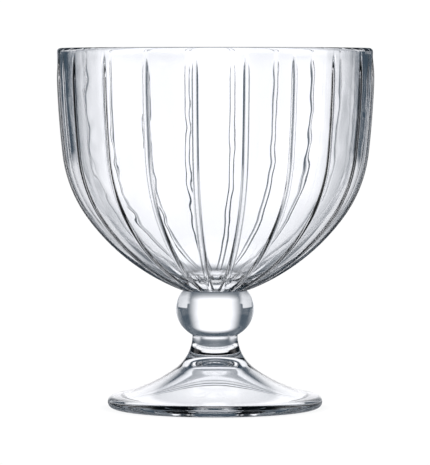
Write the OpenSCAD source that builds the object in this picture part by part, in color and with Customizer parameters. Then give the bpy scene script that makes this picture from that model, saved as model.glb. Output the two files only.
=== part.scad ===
// Ribbed ice cream coupe in clear pressed glass. A deep round bowl with twenty beaded ribs stands on a
// squashed ball and a hollow trumpet foot. The three are pressed apart and joined hot, end to end.
// Z is up, the origin is on the table under the centre, and -Y is the front.
//
// A lean is an angle of a wall in section, 0 where the wall is upright and 90 where it lies flat.

/* [Bowl] */
// Diameter over the smooth band at the rim
rim_d = 103.4; // [84:0.5:124]
// Wall of the bowl at the rim and down the side
bowl_wall = 3.6; // [2.8:0.1:4.4]
// Radius of the rounded edges of the rim
rim_round = 1.2; // [0.6:0.1:1.3]
// Section radius of the nearly straight side
side_r = 310; // [250:5:380]
// Section radius of the shoulder
shoulder_r = 43; // [34:0.5:52]
// Lean of the wall just under the rim
lip_lean = 0.3; // [0:0.1:1]
// Lean where the side turns into the shoulder
side_lean = 6.42; // [5:0.02:8]
// Lean where the shoulder turns into the underside
shoulder_lean = 36; // [30:0.5:42]
// Lean where the underside meets the collar
collar_lean = 69; // [64:0.5:74]
// Lean where the inside of the bowl turns into its floor
floor_lean = 62; // [57:0.5:66]
// Diameter of the collar that stands on the ball
collar_d = 21.2; // [18:0.1:24]
// Height of the collar
collar_h = 0.8; // [0.6:0.05:1.4]

/* [Ribs] */
// Number of ribs round the bowl
rib_count = 20; // [16:1:24]
// Radius of the ball cutter that sank each rib into the mould
rib_r = 1.05; // [0.9:0.05:1.2]
// Height of a rib over the wall
rib_rise = 0.76; // [0.6:0.02:0.86]
// Turn from the front, about Z, of the rib nearest to it
rib_turn = -7; // [-9:0.1:9]
// Smooth band between the rim and the tips of the ribs
rib_band = 2.9; // [2:0.1:6]
// Section radius of the run-out at the top of each rib
runout_r = 50; // [35:1:70]

/* [Ball] */
// Largest diameter of the ball
ball_d = 25.9; // [24:0.1:30]
// Half of the height that the ball would have uncut
ball_rise = 10.5; // [8:0.1:13]

/* [Foot] */
// Diameter over the rolled edge
foot_d = 70.5; // [58:0.5:84]
// Diameter of the neck under the ball
neck_d = 14.9; // [12.4:0.1:17.7]
// Section radius of the neck
neck_r = 13.6; // [11.3:0.1:16.2]
// Lean where the neck turns into the spread of the foot
neck_lean = 54; // [48:0.5:58]
// Lean where the spread meets the rolled edge
edge_lean = 79; // [76:0.5:81]
// Radius of the rolled edge
edge_r = 2; // [1.6:0.05:2.4]
// Wall of the foot over the hollow
foot_wall = 3.8; // [3.2:0.1:4.5]
// Lean where the wall of the hollow turns into its round cap
cap_lean = 46; // [40:0.5:50]
// Lean where the hollow opens on to the resting ring
hollow_lean = 75.5; // [72:0.5:76]

/* [Hidden] */
$fn = 72;

// Steps in an arc of an outline, and in the ball's half outline
arc_steps = 5;
ball_steps = 16;
// Slope of the step from the resting ring into the hollow, and how far its cutter passes the table
ring_step = 0.5;
over = 1;
// Section radius inside the bowl's underside, as a share of the one parallel to the outside
inner_under_share = 0.93;
// Extra turn that takes the end of a run-out under the wall
runout_extra = 2;

rim_r = rim_d / 2;
collar_r = collar_d / 2;
ball_r = ball_d / 2;
throat_r = neck_d / 2;
foot_r = foot_d / 2;

// Width and height that an arc of radius r takes between two leans.
function run(r, from, to) = r * (cos(from) - cos(to));
function fall(r, from, to) = r * (sin(to) - sin(from));
// The points of an arc that starts at [x, z] and goes down. It comes in towards the axis, or goes out from
// it where way is -1.
function arc(start, r, from, to, way = 1) = [
    for (i = [0 : arc_steps])
        let (lean = from + (to - from) * i / arc_steps)
            start + [-way * run(r, from, lean), -fall(r, from, lean)]
];
function last(points) = points[len(points) - 1];
function backwards(points) = [for (i = [len(points) - 1 : -1 : 0]) points[i]];
// The quarter round of an edge, from one direction to another.
function corner(centre, r, from, to) = [
    for (i = [0 : arc_steps])
        let (turn = from + (to - from) * i / arc_steps)
            centre + r * [cos(turn), sin(turn)]
];

// Foot: the spread's radius follows from the widths of the neck, the rolled edge and the whole foot.
edge_x = foot_r - edge_r;
spread_run = edge_x + edge_r * cos(edge_lean) - throat_r - run(neck_r, 0, neck_lean);
spread_r = spread_run / (cos(neck_lean) - cos(edge_lean));
foot_h = fall(neck_r, 0, neck_lean) + fall(spread_r, neck_lean, edge_lean) + edge_r * (1 + sin(edge_lean));

// Ball: it is cut level where it is as wide as the neck below and the collar above.
function ball_reach(r) = ball_rise * sqrt(1 - pow(r / ball_r, 2));
ball_z = foot_h + ball_reach(throat_r);
bowl_z = ball_z + ball_reach(collar_r);

// Bowl: the underside's radius follows from the widths of the rim and the collar.
under_run = rim_r - run(side_r, lip_lean, side_lean) - run(shoulder_r, side_lean, shoulder_lean) - collar_r;
under_r = under_run / (cos(shoulder_lean) - cos(collar_lean));
under_z = bowl_z + collar_h + fall(under_r, shoulder_lean, collar_lean);
shoulder_z = under_z + fall(shoulder_r, side_lean, shoulder_lean);
side_z = shoulder_z + fall(side_r, lip_lean, side_lean);
rim_z = side_z + rim_round;
// The inside of the underside is a tighter arc, so that the glass thickens towards the collar.
inner_under_r = (under_r - bowl_wall) * inner_under_share;

// Centres of the section arcs. Those of the side and the shoulder serve the outside, the inside and the ribs.
side_centre = [rim_r - side_r * cos(lip_lean), side_z + side_r * sin(lip_lean)];
shoulder_centre = side_centre + (side_r - shoulder_r) * [cos(side_lean), -sin(side_lean)];
under_centre = shoulder_centre + (shoulder_r - under_r) * [cos(shoulder_lean), -sin(shoulder_lean)];
function on_arc(centre, r, lean) = centre + r * [cos(lean), -sin(lean)];
function around(centre, r, from, to) = arc(on_arc(centre, r, from), r, from, to);

outside = concat(
    around(side_centre, side_r, lip_lean, side_lean),
    around(shoulder_centre, shoulder_r, side_lean, shoulder_lean),
    around(under_centre, under_r, shoulder_lean, collar_lean)
);
// The inside starts level with the top of the outside, where the rim's roundings end.
inner_lip_lean = asin(side_r * sin(lip_lean) / (side_r - bowl_wall));
inside_side = concat(
    around(side_centre, side_r - bowl_wall, inner_lip_lean, side_lean),
    around(shoulder_centre, shoulder_r - bowl_wall, side_lean, shoulder_lean)
);
inside_under = arc(last(inside_side), inner_under_r, shoulder_lean, floor_lean);
floor_r = last(inside_under)[0] / cos(floor_lean);
inside = concat(inside_side, inside_under, arc(last(inside_under), floor_r, floor_lean, 90));

// Ribs: each is the path of a ball cutter that follows the wall, sunk so that it stands out by its rise.
rib_sink = rib_r - rib_rise;
// Lean at which the rib leaves the wall. Above it the cutter lifts away on the run-out's arc.
tip_z = rim_z - rib_band;
runout_drop = sqrt(2 * rib_rise * runout_r);
rib_top_z = tip_z - runout_drop;
rib_lean = asin((side_centre[1] - rib_top_z) / side_r);
runout_turn = asin(runout_drop / runout_r) + runout_extra;
runout_centre = on_arc(side_centre, side_r - rib_sink - runout_r, rib_lean);

// A round bar of the cutter's radius, bent along an arc in the plane of X and Z.
module bent_bar(centre, r, from, to) {
    translate([centre[0], 0, centre[1]])
        rotate([90, 0, 0])
            rotate([0, 0, -to])
                rotate_extrude(angle = to - from)
                    translate([r, 0])
                        circle(rib_r);
}

module rib() {
    bent_bar(runout_centre, runout_r, rib_lean - runout_turn, rib_lean);
    bent_bar(side_centre, side_r - rib_sink, rib_lean, side_lean);
    bent_bar(shoulder_centre, shoulder_r - rib_sink, side_lean, shoulder_lean);
    bent_bar(under_centre, under_r - rib_sink, shoulder_lean, collar_lean);
}

module bowl_wall_of_glass() {
    rim = concat(
        corner(inside[0] + [rim_round, 0], rim_round, 180, 90),
        corner([rim_r - rim_round, side_z], rim_round, 90, 0)
    );
    rotate_extrude()
        polygon(concat(rim, outside, [[collar_r, bowl_z], [0, bowl_z]], backwards(inside)));
}

module bowl() {
    color("lightcyan", 0.5)
        union() {
            bowl_wall_of_glass();
            for (i = [0 : rib_count - 1])
                rotate([0, 0, -90 + rib_turn + i * 360 / rib_count])
                    rib();
        }
}

module ball() {
    low = -asin(ball_reach(throat_r) / ball_rise);
    high = asin(ball_reach(collar_r) / ball_rise);
    color("azure", 0.6)
        rotate_extrude()
            polygon(concat(
                [[0, foot_h]],
                [
                    for (i = [0 : ball_steps])
                        let (a = low + (high - low) * i / ball_steps)
                            [ball_r * cos(a), ball_z + ball_rise * sin(a)]
                ],
                [[0, bowl_z]]
            ));
}

module foot() {
    neck = arc([throat_r, foot_h], neck_r, 0, neck_lean, -1);
    spread = arc(last(neck), spread_r, neck_lean, edge_lean, -1);
    edge = corner([edge_x, edge_r], edge_r, edge_lean, -90);
    // The hollow runs parallel to the neck and the spread, one wall below them, and closes in a round cap.
    inner_neck_r = neck_r + foot_wall;
    hollow_top = [throat_r + neck_r, foot_h] - inner_neck_r * [cos(cap_lean), sin(cap_lean)];
    inner_neck = arc(hollow_top, inner_neck_r, cap_lean, neck_lean, -1);
    inner_spread = arc(last(inner_neck), spread_r + foot_wall, neck_lean, hollow_lean, -1);
    cap_r = hollow_top[0] / cos(cap_lean);
    cap = corner(hollow_top - cap_r * [cos(cap_lean), sin(cap_lean)], cap_r, 90, cap_lean);
    ring = last(inner_spread) + last(inner_spread)[1] * [ring_step, -1];
    color("lightcyan", 0.5)
        difference() {
            rotate_extrude()
                polygon(concat([[0, foot_h]], neck, spread, edge, [[0, 0]]));
            rotate_extrude()
                polygon(concat(cap, inner_neck, inner_spread, [ring, ring - [0, over], [0, -over]]));
        }
}

bowl();
ball();
foot();
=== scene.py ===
"""A ribbed ice cream coupe in clear pressed glass, on a pale table between four lit panels."""

import math

import bpy
import numpy as np
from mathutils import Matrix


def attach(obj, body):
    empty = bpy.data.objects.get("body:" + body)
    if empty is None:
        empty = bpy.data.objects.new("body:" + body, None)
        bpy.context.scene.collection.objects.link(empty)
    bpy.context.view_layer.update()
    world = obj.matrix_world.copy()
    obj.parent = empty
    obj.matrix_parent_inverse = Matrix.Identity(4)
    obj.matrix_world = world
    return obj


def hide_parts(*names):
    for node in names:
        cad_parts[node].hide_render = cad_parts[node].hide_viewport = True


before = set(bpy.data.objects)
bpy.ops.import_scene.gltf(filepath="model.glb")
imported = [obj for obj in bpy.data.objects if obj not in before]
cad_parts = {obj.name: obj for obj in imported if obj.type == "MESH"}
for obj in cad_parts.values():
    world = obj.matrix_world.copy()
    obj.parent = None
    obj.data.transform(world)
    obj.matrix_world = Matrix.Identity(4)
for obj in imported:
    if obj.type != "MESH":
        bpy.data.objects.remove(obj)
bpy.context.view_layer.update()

# Camera
# A long lens a little over a metre away, level with the upper bowl and tipped down slightly, so that the
# rim is seen edge on and the foot from just above.

MM = 0.001
camera_distance = 1100 * MM
camera_height = 110 * MM
camera_pitch = 2.73
clip_near = 50 * MM
clip_far = 20.0
# Height of the photograph in pixels, and how many of them a metre takes at the glass.
image_height = 465
scale_at_glass = 3.05 / MM
# The sensor's size falls on the longer side of the picture, which is its height.
sensor = 36.0

camera_data = bpy.data.cameras.new("camera")
camera_data.sensor_width = sensor
camera_data.lens = sensor * scale_at_glass * camera_distance / image_height
camera_data.clip_start = clip_near
camera_data.clip_end = clip_far
camera = bpy.data.objects.new("camera", camera_data)
camera.location = (0, -camera_distance, camera_height)
camera.rotation_euler = (math.radians(90 - camera_pitch), 0, 0)
bpy.context.scene.collection.objects.link(camera)
bpy.context.scene.camera = camera
bpy.context.scene.view_settings.view_transform = "Standard"


# Studio
# Four soft lit panels stand close round the glass, one on each side, with open corners between them, and
# the rest of the room is dim. They repeat every quarter turn, so that each side is lit alike. The camera
# itself looks past the panels at plain white.


class Wire:
    """One socket of a node tree. Sums and products of wires and numbers add their Math nodes."""

    def __init__(self, tree, socket):
        self.tree = tree
        self.socket = socket

    @staticmethod
    def node(tree, kind, settings=None, inputs=None, output=0):
        """Adds a node of a kind, sets it, fills or links its sockets and returns one of its outputs."""
        node = tree.nodes.new(kind)
        for name, value in (settings or {}).items():
            setattr(node, name, value)
        for name, value in (inputs or {}).items():
            if isinstance(value, Wire):
                tree.links.new(value.socket, node.inputs[name])
            else:
                node.inputs[name].default_value = value
        return Wire(tree, node.outputs[output]) if node.outputs else None

    def maths(self, operation, *others):
        """The Math node of an operation on this value and the others."""
        values = dict(enumerate((self, *others)))
        return Wire.node(self.tree, "ShaderNodeMath", {"operation": operation}, values)

    def fade(self, start, end):
        """0 up to start and 1 from end on, with a smooth step between."""
        limits = {"Value": self, "From Min": start, "From Max": end}
        return Wire.node(self.tree, "ShaderNodeMapRange", {"interpolation_type": "SMOOTHSTEP"}, limits)

    def parts(self):
        """The three coordinates of a vector."""
        vector = {"Vector": self}
        return [Wire.node(self.tree, "ShaderNodeSeparateXYZ", None, vector, axis) for axis in "XYZ"]

    def tint(self, low, high):
        """The colour low where this value is 0 and high where it is 1. The colours are RGBA or wires.

        Sockets 0, 6 and 7 of the node are the factor and its two colours, and output 2 is their mix.
        """
        return Wire.node(self.tree, "ShaderNodeMix", {"data_type": "RGBA"}, {0: self, 6: low, 7: high}, 2)

    def __add__(self, other):
        return self.maths("ADD", other)

    __radd__ = __add__

    def __sub__(self, other):
        return self.maths("SUBTRACT", other)

    def __rsub__(self, other):
        return self * -1 + other

    def __mul__(self, other):
        return self.maths("MULTIPLY", other)

    __rmul__ = __mul__

    def __truediv__(self, other):
        return self.maths("DIVIDE", other)


paper_white = (1.02, 1.02, 1.02, 1)
panel_light = (1.19, 1.19, 1.22, 1)
room_light = (0.052, 0.076, 0.102, 1)
panel_distance = 200 * MM
panel_height = 500 * MM
# A panel is fully lit up to the first slope from its middle and dark from the second on, where it ends.
lit_slope = 0.2
dark_slope = 0.6
# It is lit up to the first height and dark from the second on.
lit_up = 110 * MM
dark_up = 140 * MM


def emptied(owner):
    """The node tree of a world or a material, with nothing in it."""
    owner.use_nodes = True
    owner.node_tree.nodes.clear()
    return owner.node_tree


def place_on_object(tree):
    """The coordinates of the point in its object's own frame, in metres."""
    return Wire.node(tree, "ShaderNodeTexCoord", None, None, "Object")


def seen_directly(tree):
    """1 where the camera looks straight at the studio, and 0 where its light comes by way of the glass."""
    return Wire.node(tree, "ShaderNodeLightPath", None, None, "Is Camera Ray")


def panel_strip(x, y):
    """1 along the middle of each panel and of the table before it, and 0 at its edges and between them.

    Seen from above, it fades with the tangent of the angle between the way to the point and the way to
    the nearest panel's middle. That tangent is the smaller of |x| and |y| over the larger.
    """
    off_x, off_y = x.maths("ABSOLUTE"), y.maths("ABSOLUTE")
    slope = off_x.maths("MINIMUM", off_y) / off_x.maths("MAXIMUM", off_y)
    return 1 - slope.fade(lit_slope, dark_slope)


world = bpy.data.worlds.new("studio")
bpy.context.scene.world = world
sky = emptied(world)
sky_colour = seen_directly(sky).tint(room_light, paper_white)
backdrop = Wire.node(sky, "ShaderNodeBackground", None, {"Color": sky_colour})
Wire.node(sky, "ShaderNodeOutputWorld", None, {"Surface": backdrop})

quarter_turns = np.radians([[0], [90], [180], [270]])
half_panel = dark_slope * panel_distance
corner_x = np.array([-half_panel, half_panel, half_panel, -half_panel])
panel_x = corner_x * np.cos(quarter_turns) - panel_distance * np.sin(quarter_turns)
panel_y = corner_x * np.sin(quarter_turns) + panel_distance * np.cos(quarter_turns)
panel_z = np.broadcast_to([0, 0, panel_height, panel_height], panel_x.shape)
panel_points = np.stack([panel_x, panel_y, panel_z], axis=-1).reshape(-1, 3)
panel_faces = np.arange(len(panel_points)).reshape(-1, 4)
panel_mesh = bpy.data.meshes.new("panels")
panel_mesh.from_pydata(panel_points.tolist(), [], panel_faces.tolist())
panels = bpy.data.objects.new("panels", panel_mesh)
bpy.context.scene.collection.objects.link(panels)
panels.visible_camera = False
panel_glow = bpy.data.materials.new("panel_glow")
glow = emptied(panel_glow)
glow_x, glow_y, glow_z = place_on_object(glow).parts()
lit = panel_strip(glow_x, glow_y) * (1 - glow_z.fade(lit_up, dark_up))
panel_shine = Wire.node(glow, "ShaderNodeEmission", None, {"Color": lit.tint(room_light, panel_light)})
Wire.node(glow, "ShaderNodeOutputMaterial", None, {"Surface": panel_shine})
panel_mesh.materials.append(panel_glow)


# Table
# A wide pale table, plain white to the camera with a painted soft shade close to the foot. By way of the
# glass it shows painted light and shade: lit strips before the panels and through the open corners, little
# light round the foot, and the light that the clear foot gathers under itself.

table_r = 3.0
table_drop = 0.05 * MM
table_steps = 96
# Each light and shade fades from the first of two distances from the axis to the second.
# The painted light under the foot:
under_r = 31 * MM
under_reach = 36 * MM
under_share = 0.9
# The painted strips of light before the panels, and the share of them and of the pools that is left close to
# the foot, as painted shade:
near_r = 85 * MM
near_reach = 155 * MM
near_share = 0.1
# The painted pools of light through the corners, where they start and where they end:
pool_share = 0.65
pool_near_r = 45 * MM
pool_near_reach = 115 * MM
pool_r = 500 * MM
pool_reach = 900 * MM
# Sines of the angle from a corner's middle where its pool starts to fade and is gone:
corner_lit = 0.22
corner_dark = 0.4
# The painted soft shade that the camera sees round the foot:
shade_r = 34 * MM
shade_reach = 40 * MM
shade_light = (0.94, 0.945, 0.95, 1)


def even_turns(count):
    """Angles of count even steps round the axis, in radians."""
    return np.linspace(0, 2 * np.pi, count, endpoint=False)


def turned(r, z, angles):
    """Points at radius r and height z turned about the axis by an angle a: (r cos a, r sin a, z)."""
    r, z, angles = np.broadcast_arrays(r, z, angles)
    return np.stack([r * np.cos(angles), r * np.sin(angles), z], axis=-1)


table_edge = turned(table_r, -table_drop, even_turns(table_steps))
table_mesh = bpy.data.meshes.new("table")
table_mesh.from_pydata(table_edge.tolist(), [], [list(range(table_steps))])
table = bpy.data.objects.new("table", table_mesh)
bpy.context.scene.collection.objects.link(table)
table_top = bpy.data.materials.new("table_top")
board = emptied(table_top)
board_x, board_y, _ = place_on_object(board).parts()
reach = (board_x * board_x + board_y * board_y).maths("SQRT")
strips = panel_strip(board_x, board_y) * (near_share + (1 - near_share) * reach.fade(near_r, near_reach))
off_diagonal = (board_x.maths("ABSOLUTE") - board_y.maths("ABSOLUTE")).maths("ABSOLUTE") * math.sqrt(0.5)
in_corner = 1 - (off_diagonal / reach).fade(corner_lit, corner_dark)
pool = near_share + (pool_share - near_share) * reach.fade(pool_near_r, pool_near_reach)
pool = pool * (1 - reach.fade(pool_r, pool_reach)) * in_corner
under_foot = under_share * (1 - reach.fade(under_r, under_reach))
# The table seen by way of the glass is painted light and shade, and seen directly it is white with a painted
# shade round the foot.
painted_light_and_shade = strips.maths("MAXIMUM", pool).maths("MAXIMUM", under_foot).tint(room_light, panel_light)
direct = reach.fade(shade_r, shade_reach).tint(shade_light, paper_white)
table_colour = seen_directly(board).tint(painted_light_and_shade, direct)
table_shine = Wire.node(board, "ShaderNodeEmission", None, {"Color": table_colour})
Wire.node(board, "ShaderNodeOutputMaterial", None, {"Surface": table_shine})
table_mesh.materials.append(table_top)


# Foot
# The neck, the spread foot with its rolled edge and the hollow under it, pressed in one. It is clear
# glass, fire polished on top and a little worn where the ring under the edge rubs on tables. Lengths of
# the glass are in millimetres and leans in degrees, 0 where a wall is upright and 90 where it lies flat.

foot_d = 70.5
throat_d = 14.9
neck_r = 13.6
neck_lean = 54
edge_lean = 79
edge_r = 2.0
foot_wall = 3.8
cap_lean = 46
hollow_lean = 75.5
# Slope of the step from the resting ring into the hollow.
ring_step = 0.5
foot_columns = 192
ring_points = 6
# Degrees left open round a pole, which its fan of faces closes.
pole_gap = 1
foot_tint = (0.975, 0.985, 1.0, 1)
foot_ripple = 0.02 * MM
foot_ripple_size = 9 * MM
# Height over the table up to which the glass is worn, and its roughness there.
worn_height = 0.4 * MM
worn_roughness = 0.5
# Refraction of soda glass.
glass_ior = 1.5
# The ripples come in patches. A broad noise, so many ripples wide, calms them below its first level and
# leaves them whole from its second on.
patch_width = 4
calm_level = 0.35
whole_level = 0.65
noise_middle = 0.5


def arc(start, radius, lean_from, lean_to, steps, way=1):
    """Points (r, z) of a section arc going down from start between two leans of the wall, in degrees.

    Each point lies radius times the change of (cosine, sine) of the lean away from start: inwards, or
    outwards where way is -1, and down.
    """
    lean = np.radians(np.linspace(lean_from, lean_to, steps + 1))
    inwards = radius * (math.cos(lean[0]) - np.cos(lean))
    down = radius * (np.sin(lean) - math.sin(lean[0]))
    return np.column_stack([start[0] - way * inwards, start[1] - down])


def rounding(centre, radius, turn_from, turn_to, steps):
    """Points (r, z) on a circle about centre between two directions in degrees."""
    turn = np.radians(np.linspace(turn_from, turn_to, steps + 1))
    return np.column_stack([centre[0] + radius * np.cos(turn), centre[1] + radius * np.sin(turn)])


def chain(*stretches, shared_within=1e-4):
    """One outline from stretches that meet end to end, with each shared point kept once."""
    points = np.vstack(stretches)
    apart = np.linalg.norm(np.diff(points, axis=0), axis=1) > shared_within
    return points[np.r_[True, apart]]


def glass_mesh(name, rows, joints):
    """A closed mesh from rows of points round the axis, with a pole where the outline starts and ends.

    rows has the shape (row, column, xyz) in millimetres. Each pole is the mean of its row. Where joints
    is true for the start or the end, that pole's fan is a fused joint and takes the second material.
    """
    count, columns = rows.shape[:2]
    poles = np.vstack([rows[0].mean(axis=0), rows[-1].mean(axis=0)])
    vertices = np.vstack([rows.reshape(-1, 3), poles]) * MM
    column = np.arange(columns)
    after = (column + 1) % columns
    base = (np.arange(count - 1) * columns)[:, None]
    quads = np.stack([base + column, base + after, base + columns + after, base + columns + column], axis=-1)
    walls = quads.reshape(-1, 4)
    first_fan = np.column_stack([after, column, np.full(columns, count * columns)])
    last_row = (count - 1) * columns
    last_fan = np.column_stack([last_row + column, last_row + after, np.full(columns, count * columns + 1)])
    mesh = bpy.data.meshes.new(name)
    mesh.from_pydata(vertices.tolist(), [], walls.tolist() + first_fan.tolist() + last_fan.tolist())
    slots = np.repeat([0, int(joints[0]), int(joints[1])], [len(walls), columns, columns]).astype(np.int32)
    mesh.polygons.foreach_set("material_index", slots)
    mesh.polygons.foreach_set("use_smooth", slots == 0)
    mesh.update()
    piece = bpy.data.objects.new(name, mesh)
    bpy.context.scene.collection.objects.link(piece)
    return piece


def clear_glass(name, tint, ripple, ripple_size, worn_up=0.0):
    """Clear soda glass with the faint ripples that the mould leaves, of a depth and size in metres.

    It is dull on the table and clear from the height worn_up on.
    """
    material = bpy.data.materials.new(name)
    tree = emptied(material)
    place = place_on_object(tree)
    fine = {"Vector": place, "Scale": 1 / ripple_size, "Detail": 1.0}
    broad = {"Vector": place, "Scale": 1 / (patch_width * ripple_size), "Detail": 0.0}
    ripples = Wire.node(tree, "ShaderNodeTexNoise", None, fine) - noise_middle
    patches = Wire.node(tree, "ShaderNodeTexNoise", None, broad).fade(calm_level, whole_level)
    relief = {"Height": ripples * patches, "Strength": 1.0, "Distance": ripple}
    bumps = Wire.node(tree, "ShaderNodeBump", None, relief)
    glass = {"Base Color": tint, "Roughness": 0.0, "IOR": glass_ior, "Normal": bumps}
    glass["Transmission Weight"] = 1.0
    if worn_up:
        _, _, height = place.parts()
        glass["Roughness"] = worn_roughness * (1 - height.fade(worn_up / 2, worn_up))
    shader = Wire.node(tree, "ShaderNodeBsdfPrincipled", None, glass)
    Wire.node(tree, "ShaderNodeOutputMaterial", None, {"Surface": shader})
    return material


def fused_joint():
    """The seam inside the glass where two pieces were joined hot: there is nothing there to see."""
    material = bpy.data.materials.new("fused_joint")
    tree = emptied(material)
    shader = Wire.node(tree, "ShaderNodeBsdfPrincipled", None, {"Alpha": 0.0, "Roughness": 0.0})
    Wire.node(tree, "ShaderNodeOutputMaterial", None, {"Surface": shader})
    return material


foot_r = foot_d / 2
throat_r = throat_d / 2
neck_cos, edge_cos, cap_cos = np.cos(np.radians([neck_lean, edge_lean, cap_lean]))
neck_sin, edge_sin, cap_sin = np.sin(np.radians([neck_lean, edge_lean, cap_lean]))
spread_run = foot_r - edge_r + edge_r * edge_cos - throat_r - neck_r * (1 - neck_cos)
spread_r = spread_run / (neck_cos - edge_cos)
foot_h = neck_r * neck_sin + spread_r * (edge_sin - neck_sin) + edge_r * (1 + edge_sin)
neck = arc((throat_r, foot_h), neck_r, 0, neck_lean, steps=40, way=-1)
spread = arc(neck[-1], spread_r, neck_lean, edge_lean, steps=32, way=-1)
rolled_edge = rounding((foot_r - edge_r, edge_r), edge_r, edge_lean, -90, steps=30)

# The hollow runs parallel to the neck and the spread, one wall below them, and closes in a round cap.
inner_neck_r = neck_r + foot_wall
hollow_top = np.array([throat_r + neck_r, foot_h]) - inner_neck_r * np.array([cap_cos, cap_sin])
inner_neck = arc(hollow_top, inner_neck_r, cap_lean, neck_lean, steps=12, way=-1)
inner_spread = arc(inner_neck[-1], spread_r + foot_wall, neck_lean, hollow_lean, steps=32, way=-1)
hollow = chain(inner_neck, inner_spread)
cap_r = hollow_top[0] / cap_cos
cap = rounding((0, hollow_top[1] - cap_r * cap_sin), cap_r, cap_lean, 90 - pole_gap, steps=24)
ring_edge = hollow[-1] + hollow[-1][1] * np.array([ring_step, -1])
ring = np.linspace(rolled_edge[-1], ring_edge, ring_points)
step = np.linspace(ring_edge, hollow[-1], ring_points)

# The outline starts at the top, so its turns run backwards for faces that point outwards.
foot_outline = chain(neck, spread, rolled_edge, ring, step, hollow[::-1], cap)
foot_rows = turned(*np.hsplit(foot_outline, 2), even_turns(foot_columns)[::-1])
foot = glass_mesh("foot_glass", foot_rows, (True, False))
foot.data.materials.append(clear_glass("foot_glass", foot_tint, foot_ripple, foot_ripple_size, worn_height))
seam = fused_joint()
foot.data.materials.append(seam)
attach(foot, "root")
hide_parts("foot")


# Ball
# A solid squashed ball of clear glass, cut level where it meets the neck of the foot and the collar of
# the bowl, and fused to both while hot.

ball_d = 25.9
ball_rise = 10.5
collar_d = 21.2
ball_steps = 80
ball_columns = 160
ball_tint = (0.975, 0.985, 1.0, 1)
ball_ripple = 0.004 * MM
ball_ripple_size = 6 * MM


def ball_reach(radius):
    """Height from the ball's widest ring to where it is as wide as the given radius.

    It is ball_rise times the square root of 1 less the square of that radius over the ball's own.
    """
    return ball_rise * math.sqrt(1 - (radius / ball_r) ** 2)


ball_r = ball_d / 2
collar_r = collar_d / 2
ball_z = foot_h + ball_reach(throat_r)
bowl_z = ball_z + ball_reach(collar_r)
top_latitude = math.asin(ball_reach(collar_r) / ball_rise)
low_latitude = -math.asin(ball_reach(throat_r) / ball_rise)
latitude = np.linspace(top_latitude, low_latitude, ball_steps + 1)
ball_outline = np.column_stack([ball_r * np.cos(latitude), ball_z + ball_rise * np.sin(latitude)])
ball_rows = turned(*np.hsplit(ball_outline, 2), even_turns(ball_columns)[::-1])
ball = glass_mesh("ball_glass", ball_rows, (True, True))
ball.data.materials.append(clear_glass("ball_glass", ball_tint, ball_ripple, ball_ripple_size))
ball.data.materials.append(seam)
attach(ball, "root")
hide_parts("ball")


# Bowl
# The deep bowl of clear glass, pressed in a mould that a ball-nosed cutter gave its ribs. Each rib runs
# from the collar up the wall and sinks into it below the rim, which is melted round.

rim_d = 103.4
bowl_wall = 3.6
rim_round = 1.2
side_r = 310
shoulder_r = 43
lip_lean = 0.3
side_lean = 6.42
shoulder_lean = 36
collar_lean = 69
floor_lean = 62
collar_h = 0.8
collar_points = 5
# Section radius inside the underside, as a share of the one parallel to the outside.
inner_under_share = 0.93
rib_count = 20
rib_r = 1.05
rib_rise = 0.76
rib_turn = -7.0
rib_band = 2.9
runout_r = 50
# Height over the tips of the ribs from which the band is plain.
band_margin = 1
# Width of the soft fillet along each side of a rib, and the slope at which a rib's flank goes on down
# inside the wall, so that the fillet dies out.
rib_fillet = 0.1
flank_slope = 2
# Columns across one half of a rib, as offsets in millimetres, and on the wall up to the next rib.
half_rib = np.array([0, 0.21, 0.41, 0.59, 0.74, 0.86, 0.95, 1.04, 1.14, 1.28, 1.48])
wall_columns = 5
bowl_tint = (0.985, 0.99, 1.0, 1)
bowl_ripple = 0.16 * MM
bowl_ripple_size = 10 * MM

rim_r = rim_d / 2
bowl_leans = np.radians([lip_lean, side_lean, shoulder_lean, collar_lean, floor_lean])
lip_cos, side_cos, shoulder_cos, collar_cos, floor_cos = np.cos(bowl_leans)
lip_sin, side_sin, shoulder_sin, collar_sin, _ = np.sin(bowl_leans)
under_run = rim_r - side_r * (lip_cos - side_cos) - shoulder_r * (side_cos - shoulder_cos) - collar_r
under_r = under_run / (shoulder_cos - collar_cos)
under_h = under_r * (collar_sin - shoulder_sin)
shoulder_z = bowl_z + collar_h + under_h + shoulder_r * (shoulder_sin - side_sin)
side_z = shoulder_z + side_r * (side_sin - lip_sin)
rim_z = side_z + rim_round

side = arc((rim_r, side_z), side_r, lip_lean, side_lean, steps=40)
shoulder = arc(side[-1], shoulder_r, side_lean, shoulder_lean, steps=26)
underside = arc(shoulder[-1], under_r, shoulder_lean, collar_lean, steps=40)
collar = np.linspace(underside[-1], (collar_r, bowl_z), collar_points)
outer_edge = rounding((rim_r - rim_round, side_z), rim_round, 90, 0, steps=8)

# The inside of the side and the shoulder is parallel to the outside, and starts level with it.
inner_side_r = side_r - bowl_wall
inner_lip_lean = math.degrees(math.asin(side_r * lip_sin / inner_side_r))
inner_top_r = rim_r - side_r * lip_cos + inner_side_r * math.cos(math.radians(inner_lip_lean))
inner_edge = rounding((inner_top_r + rim_round, side_z), rim_round, 180, 90, steps=8)
inner_side = arc((inner_top_r, side_z), inner_side_r, inner_lip_lean, side_lean, steps=24)
inner_shoulder = arc(inner_side[-1], shoulder_r - bowl_wall, side_lean, shoulder_lean, steps=10)
inner_under_r = (under_r - bowl_wall) * inner_under_share
inner_under = arc(inner_shoulder[-1], inner_under_r, shoulder_lean, floor_lean, steps=14)
floor_r = inner_under[-1][0] / floor_cos
floor = arc(inner_under[-1], floor_r, floor_lean, 90 - pole_gap, steps=10)
outside = chain(inner_edge[-1:], outer_edge, side, shoulder, underside, collar)[::-1]
inside = chain(inner_edge[::-1], inner_side, inner_shoulder, inner_under, floor)

over_rib = np.r_[-half_rib[:0:-1], half_rib]
wall_shares = np.linspace(0, 1, wall_columns + 2)[1:-1]
pitch = 2 * np.pi / rib_count
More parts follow.
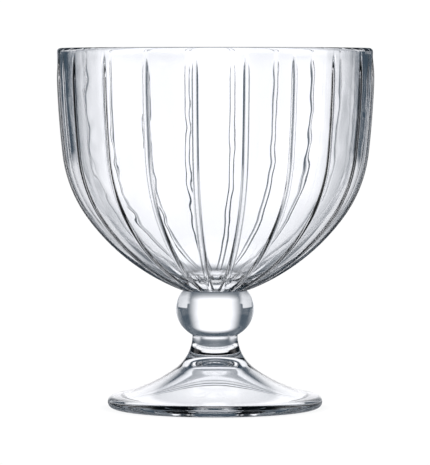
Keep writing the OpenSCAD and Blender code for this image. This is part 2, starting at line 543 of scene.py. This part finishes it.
# Angle of the rib nearest to the front, and the height where the ribs' run-outs start.
first_rib = np.radians(rib_turn - 90)
runout_z = rim_z - rib_band - math.sqrt(2 * rib_rise * runout_r)


def ribbed_columns(r):
    """Angles of the columns for rows of radius r: fixed widths over each rib, even between the ribs."""
    rib_angles = over_rib / r[:, None]
    edge = rib_angles[:, -1:]
    wall_angles = edge + wall_shares * (pitch - 2 * edge)
    sector = np.hstack([rib_angles, wall_angles])
    turns = first_rib + pitch * np.arange(rib_count)
    return (turns[None, :, None] + sector[:, None, :]).reshape(len(r), -1)


def rib_height(r, z, angle):
    """How far a rib stands out of the wall: a round bar of radius rib_r, sunk so that rib_rise shows.

    On the run-out the bar sinks by the square of the height over its start, over twice runout_r. Beside
    the bar its flank goes on down at flank_slope. The bar's height f over the wall and the wall meet in
    a fillet, by the smooth maximum (f + sqrt(f * f + fillet * fillet)) / 2.
    """
    turns = angle - first_rib
    off_rib = (turns - pitch * np.round(turns / pitch)) * r[:, None]
    sunk = rib_r - rib_rise + np.clip(z - runout_z, 0, None) ** 2 / (2 * runout_r)
    flank = flank_slope * np.clip(np.abs(off_rib) - rib_r, 0, None)
    bar = np.sqrt(np.clip(rib_r**2 - off_rib**2, 0, None)) - flank
    f = bar - sunk[:, None]
    return (f + np.sqrt(f * f + rib_fillet**2)) / 2


outer_r, outer_z = outside.T
column_angles = ribbed_columns(outer_r)
along = np.gradient(outside, axis=0)
normal = np.column_stack([along[:, 1], -along[:, 0]]) / np.linalg.norm(along, axis=1)[:, None]
rib_heights = rib_height(outer_r, outer_z, column_angles)
plain = (outer_z > rim_z - rib_band + band_margin) | (outer_z < bowl_z + collar_h)
rib_heights[plain] = 0
ribbed_r = outer_r[:, None] + rib_heights * normal[:, :1]
ribbed_z = outer_z[:, None] + rib_heights * normal[:, 1:]
outer_rows = turned(ribbed_r, ribbed_z, column_angles)
inner_rows = turned(*np.hsplit(inside, 2), column_angles[-1])
bowl_rows = np.vstack([outer_rows, inner_rows])
bowl = glass_mesh("bowl_glass", bowl_rows, (True, False))
bowl.data.materials.append(clear_glass("bowl_glass", bowl_tint, bowl_ripple, bowl_ripple_size))
bowl.data.materials.append(seam)
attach(bowl, "root")
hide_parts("bowl")
